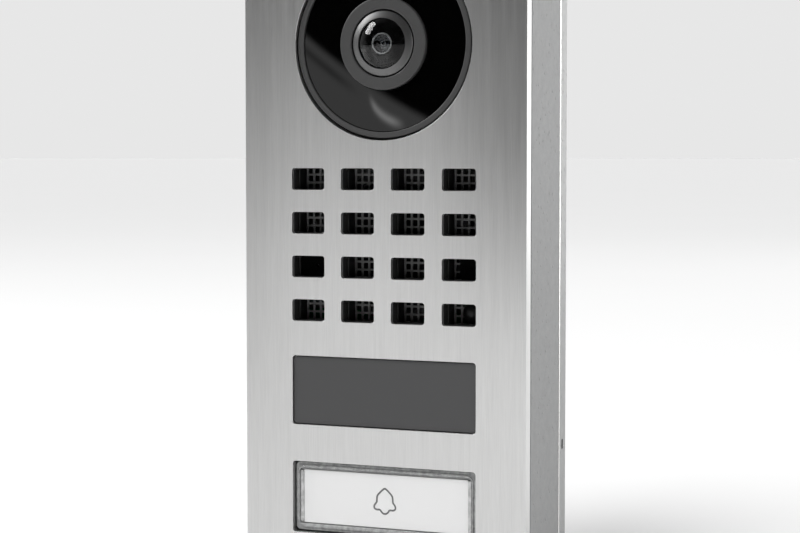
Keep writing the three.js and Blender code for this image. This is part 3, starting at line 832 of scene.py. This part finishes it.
def button():
    """A clear front on a grey frame, with the card in the frame's well between two light guides."""
    w, h = OPENING_W - 2 * BUTTON_GAP, BUTTON_H - 2 * BUTTON_GAP
    outline = rounded_rectangle(w - 1.6, h - 1.6, 2.4, 0, BUTTON_Z)
    cap = plate("button_cap_clear", outline, [], 0.2, 1.0, 0.25, LOOKS["clear_plastic"])
    stands_for(cap, "call_button", "button_cap")
    stands_for(button_frame(w, h), "call_button", "button_diffuser")
    added(light_guides(), "call_button")
    outline = rounded_rectangle(CARD_W, CARD_H, 0.2, 0, BUTTON_Z)
    card = plate("name_card", outline, [], 1.55, 1.85, 0.05, LOOKS["label_card"])
    stands_for(card, "call_button", "nameplate")
    added(bell(y_at(1.53)), "call_button")


def button_frame(w, h):
    """The translucent border: a rounded top and a side round the card's well, on a solid back."""
    resin = LOOKS["diffuser_plastic"]
    well = rounded_rectangle(CARD_W + 2.2, CARD_H + 0.5, 0.5, 0, BUTTON_Z)
    outline = rounded_rectangle(w - 1.3, h - 1.3, 2.2, 0, BUTTON_Z)
    top = plate("top", outline, [well], 1.05, 1.8, 0.3, resin)
    outline = rounded_rectangle(w, h, 1.2, 0, BUTTON_Z)
    side = plate("side", outline, [well], 1.45, 2.3, 0.2, resin)
    outline = rounded_rectangle(w - 0.3, h - 0.3, 1.6, 0, BUTTON_Z)
    back = plate("back", outline, [], 2.2, 6.6, 0.3, resin)
    return merge("button_frame", top, side, back)


def light_guides():
    """The bar at each end of the card, which carries the backlight to the front."""
    resin = light_guide()
    bars = []
    for side in (-1, 1):
        outline = rounded_rectangle(0.9, CARD_H - 0.5, 0.4, side * (CARD_W / 2 + 0.5) * MM, BUTTON_Z)
        bars.append(plate("guide", outline, [], 1.35, 2.3, 0.15, resin))
    return merge("button_light_guides", *bars)


def bell(y):
    """A generic bell drawn as one thin line, lying on the card."""
    half = [(0, 3.15), (-0.6, 2.8), (-1.35, 2.1), (-2.0, 1.3), (-2.15, 0.3), (-2.2, -0.25), (-2.6, -0.8),
            (-2.85, -1.3), (-2.75, -1.85), (-2.25, -2.15), (-1.3, -2.2), (-0.75, -2.85)]
    mirrored = [(-x, z) for x, z in reversed(half[1:])]
    points = [*half, (0, -3.15), *mirrored]
    curve = bpy.data.curves.new("bell_line", "CURVE")
    curve.dimensions = "3D"
    curve.bevel_depth = 0.23 * MM
    curve.bevel_resolution = 2
    spline = curve.splines.new("BEZIER")
    spline.bezier_points.add(len(points) - 1)
    for point, (x, z) in zip(spline.bezier_points, points):
        point.co = (x * MM, y, BUTTON_Z + z * MM)
        point.handle_left_type = point.handle_right_type = "AUTO"
    spline.use_cyclic_u = True
    spline.resolution_u = 6
    mesh = curve_mesh(curve)
    for v in mesh.vertices:
        v.co.y = y + (v.co.y - y) * 0.1
    mesh.materials.clear()
    return new_object("bell_icon", mesh, ink())


def coil(node):
    """A coil of round wire along Y that fills the box of a spring's CAD node."""
    lo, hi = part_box(node)
    centre = (lo + hi) / 2
    wire = WIRE_R * MM
    radius = (hi.x - lo.x) / 2 - wire
    steps = SPRING_TURNS * STEPS_PER_TURN
    curve = bpy.data.curves.new(node, "CURVE")
    curve.dimensions = "3D"
    curve.bevel_depth = wire
    curve.use_fill_caps = True
    spline = curve.splines.new("POLY")
    spline.points.add(steps)
    for i, point in enumerate(spline.points):
        a = 2 * math.pi * SPRING_TURNS * i / steps
        y = lo.y + wire + (hi.y - lo.y - 2 * wire) * i / steps
        point.co = (centre.x + radius * math.cos(a), y, centre.z + radius * math.sin(a), 1)
    bm = bmesh.new()
    bm.from_mesh(curve_mesh(curve))
    return from_bmesh(node + "_coil", bm, LOOKS["fastener_steel"])


def return_springs():
    """Coils that stand on the front board."""
    for node in ("return_spring_left", "return_spring_right"):
        piece = coil(node)
        stands_for(piece, "panel", node)
        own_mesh(piece)


# ---------------------------------------------------------------- stage
def softbox(name, at, size, power):
    """A rectangular light that faces the frame's origin, and that the camera doesn't see."""
    light = bpy.data.lights.new(name, "AREA")
    light.shape = "RECTANGLE"
    light.size, light.size_y = size
    light.energy = power
    obj = bpy.data.objects.new(name, light)
    obj.location = at
    obj.rotation_euler = (Vector() - Vector(at)).to_track_quat("-Z", "Y").to_euler()
    obj.visible_camera = False
    obj.visible_transmission = False
    bpy.context.scene.collection.objects.link(obj)


def smoothstep(low, high, value):
    """0 up to low, 1 from high on, and smooth between them; the other way round if low is above high."""
    t = min(1.0, max(0.0, (value - low) / (high - low)))
    return t * t * (3 - 2 * t)


def painted_grid(name, segments, place, level, shader):
    """A stage grid, laid out by place, whose shader is as bright at each vertex as level says."""
    bm = bmesh.new()
    bmesh.ops.create_grid(bm, x_segments=segments, y_segments=segments, size=0.5)
    grey = bm.verts.layers.float_color.new("grey")
    for v in bm.verts:
        v.co = place(v.co.x, v.co.y)
        value = level(v.co.x, v.co.z)
        v[grey] = (value, value, value, 1.0)
    material = bpy.data.materials.new(name)
    material.use_nodes = True
    tree = material.node_tree
    tree.nodes.remove(tree.nodes["Principled BSDF"])
    color = tree.nodes.new("ShaderNodeVertexColor")
    color.layer_name = "grey"
    surface = tree.nodes.new("ShaderNode" + shader)
    tree.links.new(color.outputs["Color"], surface.inputs["Color"])
    tree.links.new(surface.outputs[0], tree.nodes["Material Output"].inputs["Surface"])
    card = from_bmesh(name, bm, material)
    card.visible_camera = False
    card.visible_transmission = False
    card.visible_shadow = False
    return card


def card_place(x, y):
    """Stands the grid up one metre in front of the wall, to the left."""
    return -0.55 + 0.24 * (x + 0.5), -1.0, -0.08 + 0.26 * (y + 0.5)


def card_glow(x, z):
    """How bright the card is at (x, z): dark above a slanting edge, with a fold and one streak."""
    along = x + 0.4245
    below = 0.0683 - 0.584 * along + 1.7 * along**2 - z
    fold = 0.5 * smoothstep(-0.44, -0.47, x) * math.exp(-(((below - 0.0115) / 0.004) ** 2))
    glow = 0.86 * smoothstep(-0.0045, 0.0045, below) * (1 - fold)
    off_streak = 0.0463 + 0.0165 * math.exp(-(x + 0.437) / 0.0095) - 0.2 * (x + 0.42) - z
    ends = smoothstep(-0.4385, -0.432, x) * smoothstep(-0.405, -0.419, x)
    streak = 2.8 * ends * math.exp(-((off_streak / 0.0035) ** 2))
    return (glow + streak) * smoothstep(-0.55, -0.53, x)


def reflector_card():
    """A bright card in front to the left, which the camera never sees but the glossy window mirrors."""
    card = painted_grid("reflector_card", 220, card_place, card_glow, "Emission")


def net_place(x, y):
    """Stands the grid up 40 mm in front of the plate."""
    return -0.015 + 0.16 * x, FACE_Y - 0.04, 0.02 + 0.22 * y


def net_clearness(x, z):
    """How much of the light the net lets through at (x, z)."""
    right = 0.62 * smoothstep(-0.008, 0.024, x) * smoothstep(-0.04, 0.03, z)
    left = 0.36 * smoothstep(-0.044, -0.054, x) * smoothstep(-0.085, 0.02, z)
    low = (0.072 - 1.07 * x) * smoothstep(0.0, -0.05, z)
    return 1 - right - left - low


def scrim():
    """Fine black net close in front of the plate, which dims what it reflects at its sides and foot."""
    card = painted_grid("scrim", 100, net_place, net_clearness, "BsdfTransparent")
    card.visible_diffuse = False


def studio_floor():
    bm = bmesh.new()
    bmesh.ops.create_grid(bm, x_segments=8, y_segments=8, size=60)
    for v in bm.verts:
        v.co.z = PANEL[0].z - 0.0002
    ground = from_bmesh("floor", bm, floor_paint())


def overhead_light():
    """A soft sun from above, in front and a little to the left, which glossy surfaces don't mirror."""
    light = bpy.data.lights.new("overhead", "SUN")
    light.energy = 2.45
    light.angle = 0.6
    obj = bpy.data.objects.new("overhead", light)
    obj.rotation_euler = Vector((0.22, 0.6, -0.77)).to_track_quat("-Z", "Y").to_euler()
    obj.visible_glossy = False
    bpy.context.scene.collection.objects.link(obj)


def surroundings():
    """A world that is bright behind the object and dark in front of it."""
    world = bpy.data.worlds.new("studio")
    bpy.context.scene.world = world
    world.use_nodes = True
    tree = world.node_tree
    direction = tree.nodes.new("ShaderNodeTexCoord").outputs["Generated"]
    split = tree.nodes.new("ShaderNodeSeparateXYZ")
    tree.links.new(direction, split.inputs[0])
    ramp = tree.nodes.new("ShaderNodeMapRange")
    ramp.interpolation_type = "SMOOTHSTEP"
    for socket, value in (("From Min", -0.6), ("From Max", 0.4), ("To Min", 0.005), ("To Max", 0.8)):
        ramp.inputs[socket].default_value = value
    tree.links.new(split.outputs["Y"], ramp.inputs["Value"])
    tree.links.new(ramp.outputs["Result"], tree.nodes["Background"].inputs["Color"])


def studio():
    studio_floor()
    reflector_card()
    scrim()
    overhead_light()
    softbox("left_soft", (-1.25, -0.55, 0.95), (0.55, 0.75), 13.5)
    softbox("right_rear_soft", (0.75, 1.7, 0.0), (1.0, 1.5), 6.5)
    softbox("right_soft", (1.5, -0.65, 0.1), (0.5, 1.2), 9)
    surroundings()


def camera():
    """To the right of the object, turned left to it and tilted a little down."""
    data = bpy.data.cameras.new("camera")
    data.sensor_width = 36
    data.lens = 89.88
    obj = bpy.data.objects.new("camera", data)
    obj.location = (0.19638, -0.47816, 0.02155)
    tilt, turn = 3.188, 23.151
    obj.rotation_euler = (math.radians(90 - tilt), 0, math.radians(turn))
    bpy.context.scene.collection.objects.link(obj)
    bpy.context.scene.camera = obj


front_plate()
gasket()
housing()
wall_plate()
camera_rings()
lens()
sound_mesh()
foam_blocks()
pocket_lips()
reader()
button()
return_springs()
studio()
camera()
bpy.context.scene.view_settings.view_transform = "Standard"
